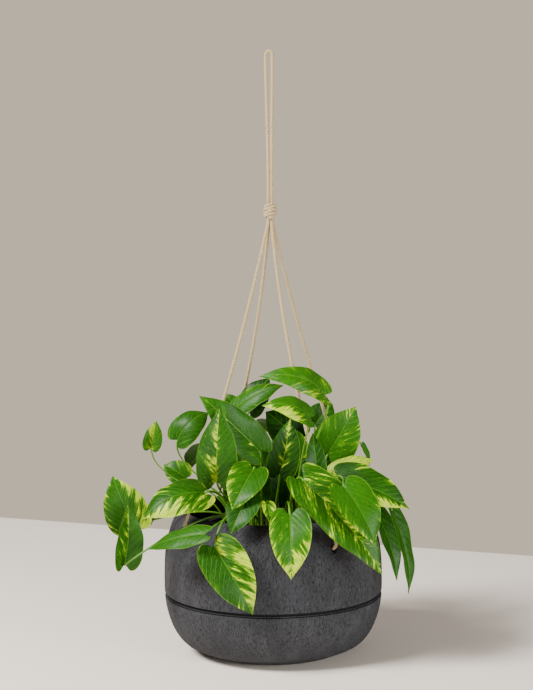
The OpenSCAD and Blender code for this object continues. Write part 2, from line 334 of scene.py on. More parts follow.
def rope(name, line, body, taper=False, around=30):
    """A three-ply twisted cord along the line."""
    run = distance_along(line)
    turn = turn_steps(around)
    local = (turn[None, :] - 2 * np.pi * run[:, None] / LAY) * PLIES / 2
    strand = np.abs(np.cos(local))
    radii = CORD / 2 * (VALLEY + (1 - VALLEY) * np.sqrt(np.clip(1 - (1 - strand) ** 2, 0, 1)))
    if taper:
        ends = np.clip(np.minimum(run, run[-1] - run) / (2 * MM), 0, 1)
        radii *= (0.35 + 0.65 * np.sqrt(ends))[:, None]
    verts, faces = tube_rings(line, radii, around)
    ob = mesh_object(name, verts, faces)
    across = turn[None, :] / (2 * np.pi) - run[:, None] / LAY
    along = run[:, None] * np.ones_like(turn)[None, :]
    uv = np.column_stack([across.ravel(), along.ravel()])
    set_uv(ob, "strand", np.vstack([uv, uv[0], uv[-1]]))
    finish_with(ob, COTTON)
    if body:
        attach(ob, body)
    return ob


# ---- the hanger, in millimetres above the pot's foot ----

# which way each hole faces, in degrees from the front to the right, and how slack its cord hangs
SIDES = {"front_right": 34, "back_right": 124, "back_left": 214, "front_left": 304}
SLACK = {"front_right": 20, "back_right": 8, "back_left": 18, "front_left": 7}
KNOT_LOW, SHOULDER = 588, 190  # a cord is straight between these two heights, but for its slack
CORD_TOP, CORD_BEND = 600, 186  # it starts inside the knot and bends inwards over the shoulder
BUNDLE, SPREAD = 3.0, 0.345  # its radius inside the knot, and how fast that grows downwards
HOLE_Z = 163
# the loop, in millimetres above its bearing point on the hook
SPLIT = -100  # the top loop ends here and the two lower legs begin
CROWN_FOOT, CROWN_CENTRE, CROWN_HALF, CROWN_RISE = -6.2, -4.2, 4.5, 6.5


def turned(radius, z, degrees, aside=0.0):
    """A point at a radius and height on the side that faces degrees, from the front to the right."""
    a = math.radians(degrees)
    return spot(radius * math.sin(a) + aside * math.cos(a), -radius * math.cos(a) + aside * math.sin(a), z)


def hanger_route(degrees, slack):
    """Down from the knot a little slack, over the pot's shoulder and in through its hole."""
    line = []
    for z in np.linspace(CORD_TOP, CORD_BEND, 28):
        way = np.clip((KNOT_LOW - z) / (KNOT_LOW - SHOULDER), 0, 1)
        line.append((BUNDLE + max(0, KNOT_LOW - z) * SPREAD - 4 * slack * way * (1 - way), z))
    centre_r, centre_z, bend = 137.0, 172.8, 10.3
    for a in map(math.radians, (14, 34, 54, 74, 90)):
        line.append((centre_r + bend * math.cos(a), centre_z - bend * math.sin(a)))
    line += [(132, 162.8), (126, HOLE_Z), (119, HOLE_Z)]
    return smooth_line([turned(r, z, degrees) for r, z in line], 1.1 * MM)


def stopper_route(degrees):
    """Two tight turns round the cord inside the wall, and a short tail."""
    route, last = [], 26
    for k in range(last + 1):
        a = 2 * math.pi * k / 12
        r = 3.1 if k in (0, last) else 4.9
        along = 116.4 + 9.2 * k / last
        route.append(turned(along, HOLE_Z + r * math.sin(a), degrees, r * math.cos(a)))
    route += [turned(121.5, 154.6, degrees, 3.5), turned(117, 151.2, degrees, 4.4)]
    return smooth_line(route, 1.1 * MM)


def knot_route():
    """Wraps that climb to the right round the gathered cords, fuller at the middle of the knot."""
    low, climb, turns = 592.6, 4.35, 4.4
    whole, tucked, start = turns * 360, 50, 200
    route = []
    for a in range(0, int(whole) + 1, 18):
        r = 5.5 + 1.5 * math.sin(math.pi * (a / whole)) ** 0.6
        if a < tucked or a > whole - tucked:
            r = 3.8
        t = math.radians(a + start)
        z = low + climb * a / 360 + 0.26 * r * math.cos(t) + 0.35 * math.sin(2.6 * t)
        route.append(spot(r * math.cos(t), r * math.sin(t), z))
    return smooth_line(route, ROPE_STEP)


def leg_point(side, z):
    """The loop's legs come together towards the knot. z is above the bearing point, in millimetres."""
    gap = 2.3 + 2.2 * min(1.0, max(0.0, (z + 160) / 140)) ** 1.3
    return Vector((side * gap * MM, 0, z * MM))


def crown_route():
    """Up one leg of the loop, over the hook and down the other leg."""
    rising = [leg_point(-1, z) for z in np.linspace(SPLIT, CROWN_FOOT, 48)]
    over = []
    for a in np.linspace(0, math.pi, 11):
        z = CROWN_CENTRE + CROWN_RISE * math.sin(a)
        over.append(Vector((-CROWN_HALF * MM * math.cos(a), 0, z * MM)))
    falling = [leg_point(1, z) for z in np.linspace(SPLIT, CROWN_FOOT, 48)[::-1]]
    return smooth_line([*rising, *over, *falling], ROPE_STEP)


def add_knot():
    knot = rope("gathering_knot", knot_route(), "gathering_knot", taper=True)
    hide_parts("knot_wrap", "knot_core")


def add_hanger_cords():
    """The four cords with their stoppers."""
    for side, degrees in SIDES.items():
        stopper = rope("stopper_knot_" + side, stopper_route(degrees), "planter", taper=True)
        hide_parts("stopper_" + side)
        line = hanger_route(degrees, SLACK[side])
        cord = rope("hanger_cord_" + side, line, None)
        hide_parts("cord_" + side)
        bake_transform(cord)


def add_loop(above):
    """The loop over the hook and its two lower legs. above is the knot's top."""
    line = crown_route()
    loop = rope("top_loop", line, None)
    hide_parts("loop_crown", "loop_leg_left", "loop_leg_right")
    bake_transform(loop)
    for name, side in (("left", -1), ("right", 1)):
        leg = [leg_point(side, z) for z in np.linspace(above / MM - 6, SPLIT - 0.5, 14)]
        line = smooth_line(leg, ROPE_STEP)
        piece = rope("loop_leg_" + name + "_lower", line, None)
        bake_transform(piece)


# ---- pot: its outline as radius and height in millimetres, from the foot up and down the inside ----

POT_OUT = [
    (60, 0), (84, 0.3), (96, 2), (107, 6.5), (120, 12.5), (128, 19), (134, 27), (139.5, 37), (144, 49),
    (147.2, 62), (149, 74),
]
GROOVE_LINE = [
    (149.2, 76.6), (149.15, 77.2), (148.6, 77.7), (147.4, 77.9), (147.0, 78.4), (147.3, 78.8), (148.2, 79.1),
    (148.3, 79.9), (147.4, 80.2), (146.2, 80.4), (146.0, 81.2), (146.1, 82.6), (146.6, 83.3), (148.6, 83.5),
    (149.4, 83.9), (149.6, 84.6),
]
POT_TOP = [
    (149.9, 90), (150, 98), (150, 112), (149.2, 128), (147.6, 143), (144.8, 157), (141.5, 169), (138, 179),
    (133.5, 187), (128, 192.3), (122, 194.8), (117.5, 194), (115.2, 190.5), (115.2, 186),
]
POT_IN = [
    (116.5, 181), (121, 176), (126, 169), (130.5, 158), (134.5, 146), (137, 132), (138, 112), (137.8, 92),
    (136, 76), (132.5, 60), (127, 45), (119, 31), (108, 20), (95, 14), (84, 12), (40, 12),
]
POT_SEGMENTS = 420
POT_FLOOR = 12
WOBBLE_MOST = 0.34  # the most that the wall's unevenness adds
GROOVE_FOOT, GROOVE_TOP = (76.5, 77.2), (84.5, 83.7)  # its painted shade fades in between these heights
GROOVE_DEPTH = (148.2, 147.2)  # and between these radii


def wobble(x, y, z):
    """A hand-made unevenness of the pot's wall, in millimetres."""
    broad = 0.22 * np.sin(x / 23 + z / 31 + 1) * np.cos(y / 27 - z / 19)
    return broad + 0.12 * np.sin(x / 9 + 2) * np.sin(y / 11 + z / 13)


def pot_material():
    """Charcoal fibre clay: short upright scores, dented and darkened with painted shade, pale ridges and
    grit, and painted shade in the scored groove.
    """
    mat, n, shader = material("fibre_clay", 0.93, 0.25)
    place = n.add("ShaderNodeTexCoord").outputs["Object"]
    tall = n.scaled(place, 1.0, 1.0, 0.26)
    scores = n.noise(tall, 640.0, 4.0, 0.66, 0.5)
    score_dents_and_shade = n.step(scores, 0.46, 0.38)
    ridges = n.noise(n.scaled(place, 1.0, 1.0, 0.4), 760.0, 3.0, 0.65)
    grit = n.noise(place, 1500.0, 2.0, 0.6)
    cloud = n.noise(place, 14.0, 3.0, 0.55)
    patch = n.noise(n.scaled(place, 1.0, 1.0, 0.35), 45.0, 3.0, 0.6)
    tone = n.mix(n.step(cloud, 0.3, 0.7), colour(47, 48, 52), colour(54, 55, 59))
    tone = n.mix(n.step(patch, 0.45, 0.75), tone, colour(62, 63, 66))
    tone = n.mix(n.times(n.step(ridges, 0.55, 0.78), 0.6), tone, colour(98, 98, 101))
    # The scores are dented by the bump and darkened here with painted shade.
    tone = n.mix(n.times(score_dents_and_shade, 0.7), tone, colour(24, 24, 26))
    tone = n.mix(n.times(n.step(grit, 0.66, 0.8), 0.4), tone, colour(120, 118, 112))
    x, y, z = n.split(place)
    radius = n.math("SQRT", n.times_plus(x, x, n.times(y, y)))
    # Painted shade: the recessed groove is darkened to near black between these heights and radii.
    above, under = (n.step(z, *(FOOT + h * MM for h in edge)) for edge in (GROOVE_FOOT, GROOVE_TOP))
    groove_shade = n.times(n.step(radius, *(r * MM for r in GROOVE_DEPTH)), n.times(above, under))
    tone = n.mix(n.times(groove_shade, 0.85), tone, colour(14, 14, 15))
    n.put(shader.inputs["Base Color"], tone)
    n.put(shader.inputs["Roughness"], n.times_plus(cloud, 0.12, 0.84))
    height = n.minus(n.times_plus(ridges, 0.5, n.times(grit, 0.25)), n.times(score_dents_and_shade, 0.9))
    n.put(shader.inputs["Normal"], n.bump(height, 0.85, 0.0008))
    return mat


def pot_mesh():
    """The turned wall, before its holes are cut."""
    outside = smooth_line([(r, 0, z) for r, z in POT_OUT], 2.6)
    groove = smooth_line([(r, 0, z) for r, z in GROOVE_LINE], 0.45)
    shoulder = smooth_line([(r, 0, z) for r, z in POT_TOP], 2.2)
    inside = smooth_line([(r, 0, z) for r, z in POT_IN], 4.0)
    profile = np.vstack([outside, groove, shoulder, inside])[:, [0, 2]]
    turn = turn_steps(POT_SEGMENTS)
    radius, height = profile[:, 0][:, None], profile[:, 1][:, None]
    x, y, z = radius * np.cos(turn), radius * np.sin(turn), height + 0 * turn
    swell = 1 + (wobble(x, y, z) - WOBBLE_MOST) / np.maximum(radius, 60) * (z > 3)
    verts = [spot(*v) for v in zip((x * swell).ravel(), (y * swell).ravel(), z.ravel(), strict=True)]
    verts += [spot(0, 0, 0), spot(0, 0, POT_FLOOR)]
    return mesh_object("planter_pot", verts, ring_faces(len(profile), POT_SEGMENTS))


def hole_cutter(degrees):
    """A rod through the wall that flares at both ends, as radius from the axis and radius of the rod."""
    rod = [
        (110, 4.6), (124, 4.6), (125.5, 4.3), (127, 4.1), (140, 4.1), (141, 4.25), (142.3, 4.8), (144, 5.8),
        (160, 9.0),
    ]
    line = np.array([tuple(turned(r, HOLE_Z, degrees)) for r, _ in rod])
    flare = np.array([size for _, size in rod])
    return mesh_object("cutter", *tube_rings(line, np.repeat(flare[:, None] * MM, 32, axis=1), 32))


def add_pot():
    pot = pot_mesh()
    cutters = [hole_cutter(degrees) for degrees in SIDES.values()]
    for cutter in cutters:
        hole = pot.modifiers.new("hole", "BOOLEAN")
        hole.operation = "DIFFERENCE"
        hole.solver = "EXACT"
        hole.object = cutter
    shown = pot.evaluated_get(bpy.context.evaluated_depsgraph_get())
    mesh = bpy.data.meshes.new_from_object(shown)
    pot.modifiers.clear()
    pot.data = mesh
    for cutter in cutters:
        bpy.data.objects.remove(cutter)
    mesh.materials.clear()
    finish_with(pot, pot_material())
    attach(pot, "planter")
    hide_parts("pot_shell")


# ---- grow pot and potting mix ----

MIX_TOP, MIX_DEPTH = 160, 146
MIX_FOOT, MIX_INSET = 72, 3.5  # its radius below, and how far its top keeps inside its CAD solid
CRUMBS = 420


def plastic_material():
    """Black moulded plastic, a little scuffed."""
    mat, n, shader = material("grow_pot_plastic", 0.5, 0.4)
    place = n.add("ShaderNodeTexCoord").outputs["Object"]
    mould = n.noise(n.scaled(place, 1.0, 1.0, 0.2), 160.0, 3.0)
    scuff = n.noise(place, 700.0, 2.0, 0.6)
    tone = n.mix(n.step(scuff, 0.5, 0.75), colour(34, 34, 35), colour(58, 57, 55))
    n.put(shader.inputs["Base Color"], tone)
    n.put(shader.inputs["Roughness"], n.times_plus(mould, 0.35, 0.35))
    n.put(shader.inputs["Normal"], n.bump(n.plus(mould, scuff), 0.3, 0.0003))
    return mat


def add_plastic():
    """The grow pot keeps its CAD shape and gets a better material."""
    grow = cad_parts["grow_pot"]
    grow.data.materials.clear()
    grow.data.materials.append(plastic_material())


def soil_material():
    """Dark crumbs with paler bark fibres."""
    mat, n, shader = material("potting_mix", 0.97, 0.15)
    place = n.add("ShaderNodeTexCoord").outputs["Object"]
    crumbs = n.noise(place, 260.0, 5.0, 0.65)
    fibres = n.noise(n.scaled(place, 3.0, 0.6, 1.0), 300.0, 3.0, 0.6, 1.0)
    tone = n.mix(n.step(crumbs, 0.3, 0.7), colour(30, 21, 15), colour(84, 62, 43))
    tone = n.mix(n.step(fibres, 0.6, 0.75), tone, colour(120, 93, 62))
    n.put(shader.inputs["Base Color"], tone)
    n.put(shader.inputs["Normal"], n.bump(n.plus(crumbs, fibres), 0.9, 0.0015))
    return mat


def soil_bed(rng, top_r):
    """Verts, faces of the mix with its uneven top."""
    rings, around = 44, 132
    radius = np.concatenate([np.linspace(2, top_r, rings), [top_r + 1.5, top_r - 1, MIX_FOOT]])
    level = np.concatenate([np.full(rings, 0.0), [-3, -14, -MIX_DEPTH]])
    verts = []
    for r, drop in zip(radius, level, strict=True):
        for a in turn_steps(around):
            x, y = r * math.cos(a), r * math.sin(a)
            rough = math.sin(x / 5.1 + 1) * math.cos(y / 4.3)
            rough = rough + 0.7 * math.sin(x / 2.3 + y / 2.9) + 0.5 * math.cos(x / 13 - y / 17)
            bump = 0.9 * rough + rng.normal(0, 0.35)
            verts.append(spot(x, y, MIX_TOP + (bump if drop == 0 else 0) + drop))
    verts += [spot(0, 0, MIX_TOP + 0.4), spot(0, 0, MIX_TOP - MIX_DEPTH)]
    return verts, [(f[0], *f[:0:-1]) for f in ring_faces(len(radius), around)]


def add_soil():
    rng = np.random.default_rng(7)
    top_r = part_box("potting_mix")[1].x / MM - MIX_INSET
    verts, faces = soil_bed(rng, top_r)
    cube = [(sx, sy, sz) for sx in (-1, 1) for sy in (-1, 1) for sz in (-1, 1)]
    sides = [(0, 1, 3, 2), (4, 6, 7, 5), (0, 4, 5, 1), (2, 3, 7, 6), (0, 2, 6, 4), (1, 5, 7, 3)]
    for _ in range(CRUMBS):
        a, r = rng.uniform(0, 2 * np.pi), (top_r - 4) * math.sqrt(rng.uniform(0, 1))
        turn_by = Matrix.Rotation(rng.uniform(0, 6.28), 3, Vector(rng.normal(size=3)).normalized())
        size = Vector(rng.uniform((1.2, 0.8, 0.5), (5.0, 2.4, 1.6)))
        start = len(verts)
        for corner in cube:
            shaped = Vector(c * s * rng.uniform(0.6, 1.0) for c, s in zip(corner, size, strict=True))
            off = turn_by @ shaped
            verts.append(spot(r * math.cos(a) + off.x, r * math.sin(a) + off.y, MIX_TOP + 0.8 + off.z * 0.6))
        faces += [tuple(start + i for i in f) for f in sides]
    soil = mesh_object("potting_mix_bed", verts, faces)
    finish_with(soil, soil_material())
    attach(soil, "planter")
    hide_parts("potting_mix")


# ---- plant ----

# each leaf: where its stalk leaves the mix and how high it starts off upright, the point the stalk
# heads for, the leaf's base, the leaf's tip, its width, where its face looks (turn, tilt), arch, fold
LEAVES = [
    [[ 35,   8, 110], [ 88, -42, 331], [ 71, -52, 357], [-15, -84, 388], 39, [  0, 35],  24, -0.15],
    [[-20,  28, 100], [-40,  38, 292], [-32,  38, 324], [ -3,  46, 370], 44, [-25, 20],   6,  0.10],
    [[-30,  20, 100], [-58,  18, 295], [-50,  10, 333], [ 15,   0, 366], 34, [  0, 45],   6, -0.20],
    [[-15,   0,  60], [-14, -50, 248], [-17, -62, 284], [-94, -78, 362], 50, [-10, 35],   8,  0.15],
    [[-40, -20,  50], [-66, -65, 215], [-74, -80, 246], [-69, -92, 345], 54, [  5, 10],   6,  0.20],
    [[-55,  15,  60], [-136, 22, 243], [-131, 22, 287], [-88,  40, 323], 44, [-10, 30],  14, -0.22],
    [[-65,   0,  60], [-160,  0, 230], [-166,  0, 279], [-158,  0, 317], 26, [ 10, 10],   3,  0.20],
    [[-60,  35,  50], [-110, 50, 215], [-120, 50, 229], [-152, 60, 247], 36, [-10, 40],   4,  0.15],
    [[-50, -30,  45], [-72, -84, 238], [-90, -88, 234], [-172, -106, 204], 58, [-15, 45], 16, -0.25],
    [[-45, -45,  60], [-156, -38, 192], [-187, -52, 181], [-214, -60, 251], 60, [-10, 20], 6, 0.15],
    [[-42, -58, 90], [-198, -148, 145], [-197, -90, 138], [-191, -90, 217], 40, [30, 10], 6, 0.40],
    [[-36, -68,  60], [-80, -138, 196], [-88, -160, 193], [-163, -125, 168], 34, [-10, 50], 4, -0.10],
    [[-16, -64,  60], [-66, -125, 232], [-76, -150, 174], [-27, -172,  90], 60, [  0, 15],  8,  0.15],
    [[ 15, -60,  50], [ 20, -110, 240], [ 22, -135, 212], [ 23, -168, 135], 54, [  0, 20], 10,  0.15],
    [[ 22, -40,  60], [ 30, -88, 262], [ 40, -118, 254], [142, -150, 138], 66, [ 15, 35], 12,  0.15],
    [[ 44, -48,  70], [ 98, -95, 275], [ 91, -140, 250], [131, -168, 180], 58, [ 25, 30], 10,  0.15],
    [[ 45, -20,  60], [ 80, -50, 235], [ 87, -60, 247], [181, -82, 209], 55, [ 12, 38],  11,  0.12],
    [[ 50,   0,  60], [ 70, -10, 215], [ 78, -10, 238], [138, -10, 263], 34, [  0, 45],   6,  0.10],
    [[ 60, -10,  60], [130, -40, 240], [138, -60, 202], [165, -90, 114], 30, [ 40, 10],   8,  0.30],
    [[ 65,  10,  60], [150, -10, 240], [161, -40, 198], [184, -62,  89], 29, [ 48, 12],   7,  0.25],
    [[ 40,   5,  60], [ 65,  20, 230], [ 76,  20, 266], [115,  10, 333], 62, [  5, 20],   8,  0.15],
    [[ 30, -42,  80], [ 44, -97, 302], [ 50, -90, 332], [-12, -117, 354], 37, [  0, 40],  16, -0.20],
    [[ 20,  40,  80], [ 38,  50, 250], [ 37,  50, 283], [ -8,  60, 321], 56, [  0, 25],   6,  0.15],
    [[  2, -20,  40], [  7, -40, 220], [ 10, -44, 250], [ 24, -48, 325], 42, [  0, 10],   5,  0.25],
    [[ 22,  20,  60], [ 42,   8, 235], [ 40,   8, 265], [ 30,   8, 304], 34, [ 60, 10],   3,  0.10],
    [[-20, -45,  50], [-22, -85, 275], [-25, -100, 266], [-52, -140, 220], 50, [-10, 30], 8,  0.20],
    [[-25, -50,  40], [-28, -100, 245], [-31, -120, 236], [-54, -150, 191], 42, [-10, 25], 5, 0.15],
    [[ -5, -65,  30], [ -7, -110, 235], [ -8, -128, 226], [ -4, -144, 204], 19, [ 20, 20], 3, 0.30],
    [[ 70,  20,  60], [120,  30, 290], [124,  30, 277], [135,  30, 247], 14, [ 60, 10],   2,  0.30],
    [[ 45,  45,  80], [ 60,  75, 270], [ 61,  80, 299], [ 86,  90, 327], 40, [ 10, 25],   4,  0.15],
    [[ 50,  35,  50], [ 68,  75, 215], [ 72,  80, 235], [ 90,  95, 256], 34, [ 10, 30],   4,  0.15],
    [[-15,  45,  60], [-45,  60, 236], [-50,  60, 267], [-85,  76, 301], 48, [-10, 30],   6,  0.15],
    [[-32,  32, 100], [-48,  30, 300], [-46,  32, 326], [-67,  38, 349], 22, [  0, 35],   3,  0.15],
    [[-28,  -6,  40], [-34,  -2, 205], [-36,  -4, 230], [-44,   0, 288], 44, [ -5, 10],   4,  0.15],
    [[ 35,  30,  50], [ 50,  45, 210], [ 52,  45, 228], [ 55,  55, 285], 44, [  5, 10],   4,  0.15],
    [[-20,  60,  60], [-30, 110, 240], [-32, 130, 225], [-58, 165, 155], 52, [190, 30],   8,  0.15],
    [[ 15,  60,  60], [ 25, 105, 260], [ 28, 125, 246], [ 38, 170, 175], 56, [175, 35],   8,  0.15],
    [[ 40,  60,  60], [ 65, 105, 225], [ 72, 120, 212], [ 95, 160, 150], 48, [155, 30],   6,  0.15],
    [[-60,  45,  60], [-112, 70, 225], [-128, 78, 208], [-175, 98, 155], 50, [240, 35],   8,  0.15],
    [[  0,  50,  90], [  0,  88, 290], [  0,  98, 302], [ 15, 142, 265], 52, [180, 50],   8,  0.15],
    [[ 70,  35,  60], [120,  45, 245], [136,  46, 228], [180,  70, 172], 50, [105, 35],   8,  0.15],
    [[-45,  50,  80], [-78,  85, 265], [-86,  90, 268], [-120, 120, 228], 48, [220, 45],  8,  0.15],
    [[ 32, -62,  40], [ 57, -94, 232], [ 59, -101, 252], [ 53, -90, 312], 27, [  5, 10],   4,  0.20],
    [[-24,  12,  12], [-21,  11, 190], [-20,  10, 204], [-21,   7, 268], 38, [  0,  5],   3,  0.08],
]
# each leaf's look: tone from 0 dark to 1 light, pale markings on its left and right half seen from the
# base, how much they keep to the margin and to the tip, and how creamy they are
LOOKS = [
    (0.75, 0.24, 0.2, 0.2, -0.4, 0.07),
    (0.05, 0, 0, 0, 0, 0),
    (0.6, 0.16, 0.04, 0.4, 0, 0.2),
    (0.45, 0.1, 0.08, -0.4, 0, 0.52),
    (0.42, 0.24, 0.03, -0.8, -0.2, 0.45),
    (0.45, 0.05, 0.03, 0.6, 0, 0),
    (0.85, 0.4, 0.3, -0.5, 0, 0.07),
    (0.5, 0.2, 0.25, 0.3, 0, 0.39),
    (0.35, 0.46, 0.14, 0.7, 0.3, 0.59),
    (0.45, 0.1, 0.36, 1.2, 0, 0.2),
    (0.4, 0.24, 0.02, -0.4, 0.5, 0.13),
    (0.55, 0, 0, 0, 0, 0),
    (0.3, 0.46, 0.16, 0.35, 0.1, 0.26),
    (0.6, 0.32, 0.34, 0.4, 0.9, 0.33),
    (0.42, 0.32, 0.3, -0.1, 0.1, 0.52),
    (0.65, 0.04, 0.14, 0.9, 0.6, 0.13),
    (0.3, 0.1, 0.36, 0.8, 0.5, 0.52),
    (0.6, 0.85, 0.7, -0.2, 0, 0.65),
    (0.2, 0, 0, 0, 0, 0.13),
    (0.35, 0, 0, 0, 0, 0),
    (0.62, 0.2, 0.22, 0.1, 0.5, 0.07),
    (0.7, 0.34, 0.1, 0.6, 0.4, 0.08),
    (0.05, 0, 0, 0, 0, 0),
    (0.12, 0.1, 0.12, -0.9, 0.4, 0.59),
    (0.6, 0.3, 0.2, 0.5, 0, 0.07),
    (0.5, 0.06, 0.2, 0.9, 0.3, 0.26),
    (0.15, 0, 0, 0, 0, 0),
    (0.45, 0.4, 0.4, 0.3, 0, 0.13),
    (0.6, 0.05, 0.05, 0, 0, 0),
    (0.2, 0, 0, 0, 0, 0),
    (0.1, 0, 0, 0, 0, 0),
    (0.1, 0, 0, 0, 0, 0),
    (0.6, 0.12, 0.12, 0.4, 0, 0.13),
    (0.05, 0, 0, 0, 0, 0),
    (0.05, 0, 0, 0, 0, 0),
    (0.5, 0.14, 0.1, 0.3, 0.2, 0.33),
    (0.45, 0.24, 0.14, 0.4, 0.2, 0.45),
    (0.35, 0.06, 0.18, 0.3, 0.2, 0.26),
    (0.5, 0.18, 0.28, 0.5, 0.1, 0.39),
    (0.55, 0.1, 0.18, 0.2, 0.3, 0.2),
    (0.4, 0.22, 0.08, 0.5, 0.1, 0.39),
    (0.6, 0.14, 0.14, 0.2, 0, 0.2),
    (0.15, 0.03, 0, 0, 0, 0),
    (0.08, 0, 0, 0, 0, 0),
]
# small leaves deep inside the plant, as rows like those of LEAVES, and the look they share, dark with painted
# shade
INNER = [
    ([4, 32, 20], [6, 30, 180], [8, 30, 196], [2, 25, 270], 42, [10, 5], 4, 0.12),
    ([36, 42, 20], [35, 40, 182], [34, 40, 200], [41, 34, 266], 36, [-10, 5], 4, 0.12),
    ([-46, 44, 20], [-46, 42, 182], [-47, 42, 198], [-56, 46, 262], 40, [5, 5], 4, 0.12),
    ([62, 32, 20], [62, 30, 185], [62, 29, 200], [68, 30, 268], 38, [-5, 5], 4, 0.12),
    ([-8, 62, 20], [-8, 60, 190], [-8, 60, 206], [-16, 62, 288], 52, [0, 5], 4, 0.12),
    ([28, 66, 20], [28, 66, 190], [28, 66, 206], [36, 70, 280], 48, [0, 5], 4, 0.12),
]
# Painted shade: the inner leaves get a dark tone for the shade deep in the plant.
INNER_SHADE_LOOK = (0.06, 0.02, 0.0, 0, 0, 0)
# every blade: its length, half width and how far each place trails at the margin, as shares, base to tip
ALONG = [0, 0.02, 0.06, 0.15, 0.3, 0.47, 0.65, 0.82, 0.93, 1.0]
HALF = [0.05, 0.38, 0.70, 0.94, 1.02, 0.96, 0.78, 0.46, 0.17, 0.0]
LAG = [0, 0.12, 0.13, 0.09, 0.05, 0.02, 0, 0, 0, 0]
BLADE_ROWS, BLADE_COLS = 49, 31
VEIN_SLANT, VEIN_COUNT = 1.0, 9
CREASE = 0.16
SKIN = 0.3  # half a blade's thickness, in millimetres
USUAL_LENGTH = 90  # the waves and the stalk are sized for a blade of this length
STALK_SIDES = 10


def eased(values, at):
    """A smooth curve through values at 0, 1, 2 ..., read at the given places."""
    v = np.array(values, float)
    slope = np.gradient(v)
    k = np.clip(np.floor(at).astype(int), 0, len(v) - 2)
    t = at - k
    return (
        v[k] * (2 * t**3 - 3 * t**2 + 1) + slope[k] * (t**3 - 2 * t**2 + t)
        + v[k + 1] * (3 * t**2 - 2 * t**3) + slope[k + 1] * (t**3 - t**2)
    )


def unit(v):
    return v / np.linalg.norm(v)


def blade_surface(rng, row):
    """A blade's middle surface and the directions it faces, and for each of its places: the share of the
    half width, the share of the length, the distance from the midrib and the place along the veins."""
    _, _, base, tip, width, facing, arch, fold = row
    base, tip = np.array(base, float), np.array(tip, float)
    length, wide = np.linalg.norm(tip - base), width / 2
    ahead = unit(tip - base)
    turn, tilt = (math.radians(angle) for angle in facing)
    up = np.array([math.sin(turn) * math.cos(tilt), -math.cos(turn) * math.cos(tilt), math.sin(tilt)])
    up = unit(up - ahead * (up @ ahead))
    side = np.cross(ahead, up)
    k = np.linspace(0, len(ALONG) - 1, BLADE_ROWS)[:, None]
    s = np.linspace(-1, 1, BLADE_COLS)[None, :]
    s = np.sign(s) * np.abs(s) ** 1.15
    far = np.abs(s)
    a, half, lag = eased(ALONG, k), np.clip(eased(HALF, k), 0.004, 2), np.clip(eased(LAG, k), 0, 1)
    inner = np.sin(np.pi * np.clip(a, 0, 1))
    along = a - lag * s**2
    out = wide * half * s
    size = length / USUAL_LENGTH
    vein = along - VEIN_SLANT * np.abs(out) / length * (1 + 0.35 * far)
    quilt = np.cos(2 * np.pi * VEIN_COUNT * vein + 0.6) * np.clip(np.abs(out) / 3, 0, 1) * (1 - far**3)
    left, right = rng.uniform(0, 6.28, 2)
    wave = np.where(s < 0, np.sin(2 * np.pi * 1.9 * along + left), np.sin(2 * np.pi * 2.2 * along + right))
    lift = (
        4 * arch * a * (1 - a)
        + fold * (0.5 * s**2 + 0.5 * far) * wide * half
        + CREASE * (far - s**2) * wide * half
        + 1.3 * size * wave * far**2.2 * inner**0.6
        - 0.9 * size * s**6
        + 0.22 * size * quilt
        - 0.9 * size * np.exp(-((out / 1.6) ** 2)) * (1 - a)
        - 5 * size * np.clip((a - 0.72) / 0.28, 0, 1) ** 2 * 0.5
    )
    sway = rng.uniform(-1.8, 1.8) * size * inner
    sway = sway + rng.uniform(-2.4, 2.4) * size * np.clip(a - 0.75, 0, 1) ** 2 * 8
    mid = base + ahead * (length * along)[..., None] + side * (out + sway)[..., None] + up * lift[..., None]
    along_dir, across_dir = np.gradient(mid, axis=0), np.gradient(mid, axis=1)
    normal = np.cross(along_dir, across_dir)
    normal /= np.maximum(np.linalg.norm(normal, axis=2), 1e-9)[..., None]
    if (normal[BLADE_ROWS // 2, BLADE_COLS // 2] @ up) < 0:
        normal = -normal
    return mid, normal, s, a, out, vein * length


def blade_mesh(mid, normal, s, a):
    """Verts, faces and face materials of a blade: its upper and lower skin, closed at the margin."""
    thick = SKIN * (1 - 0.75 * np.abs(s) ** 10) * np.ones_like(a)
    top, under = mid + normal * thick[..., None], mid - normal * thick[..., None]
    n, m = BLADE_ROWS, BLADE_COLS
    verts = [*top.reshape(-1, 3), *under.reshape(-1, 3)]
    faces, kinds = [], []
    for i in range(n - 1):
        for j in range(m - 1):
            q = (i * m + j, i * m + j + 1, (i + 1) * m + j + 1, (i + 1) * m + j)
            faces += [q[::-1], tuple(n * m + v for v in q)]
            kinds += [0, 1]
    border = [i * m for i in range(n)] + [(n - 1) * m + j for j in range(1, m)]
    border += [i * m + m - 1 for i in range(n - 2, -1, -1)] + [j for j in range(m - 2, 0, -1)]
    for p, q in zip(border, [*border[1:], border[0]], strict=True):
        faces.append((p, q, q + n * m, p + n * m))
        kinds.append(0)
    return verts, faces, kinds


def stalk_line(row, mid, normal, a):
    """The stalk's line out of the mix, up to its neck and on under the blade as the midrib; and the neck."""
    (rx, ry, rise), via, base, *_ = row
    via, base = np.array(via, float), np.array(base, float)
    root = np.array([rx, ry, MIX_TOP + 2.0])
    start, knee = root + (0, 0, 4), root + (0, 0, rise)
    neck = base - unit(base - via) * 2.5
    line = [root - (0, 0, 6), root]
    for t in np.linspace(0, 1, 12):
        back = 1 - t
        line.append(start * back**3 + knee * 3 * t * back**2 + via * 3 * t * t * back + neck * t**3)
    centre = BLADE_COLS // 2
    for i in range(4, int(BLADE_ROWS * 0.8), 3):
        line.append(mid[i, centre] - normal[i, centre] * (0.5 + 0.7 * (1 - a[i, 0])))
    return smooth_line(line, 2.2), neck


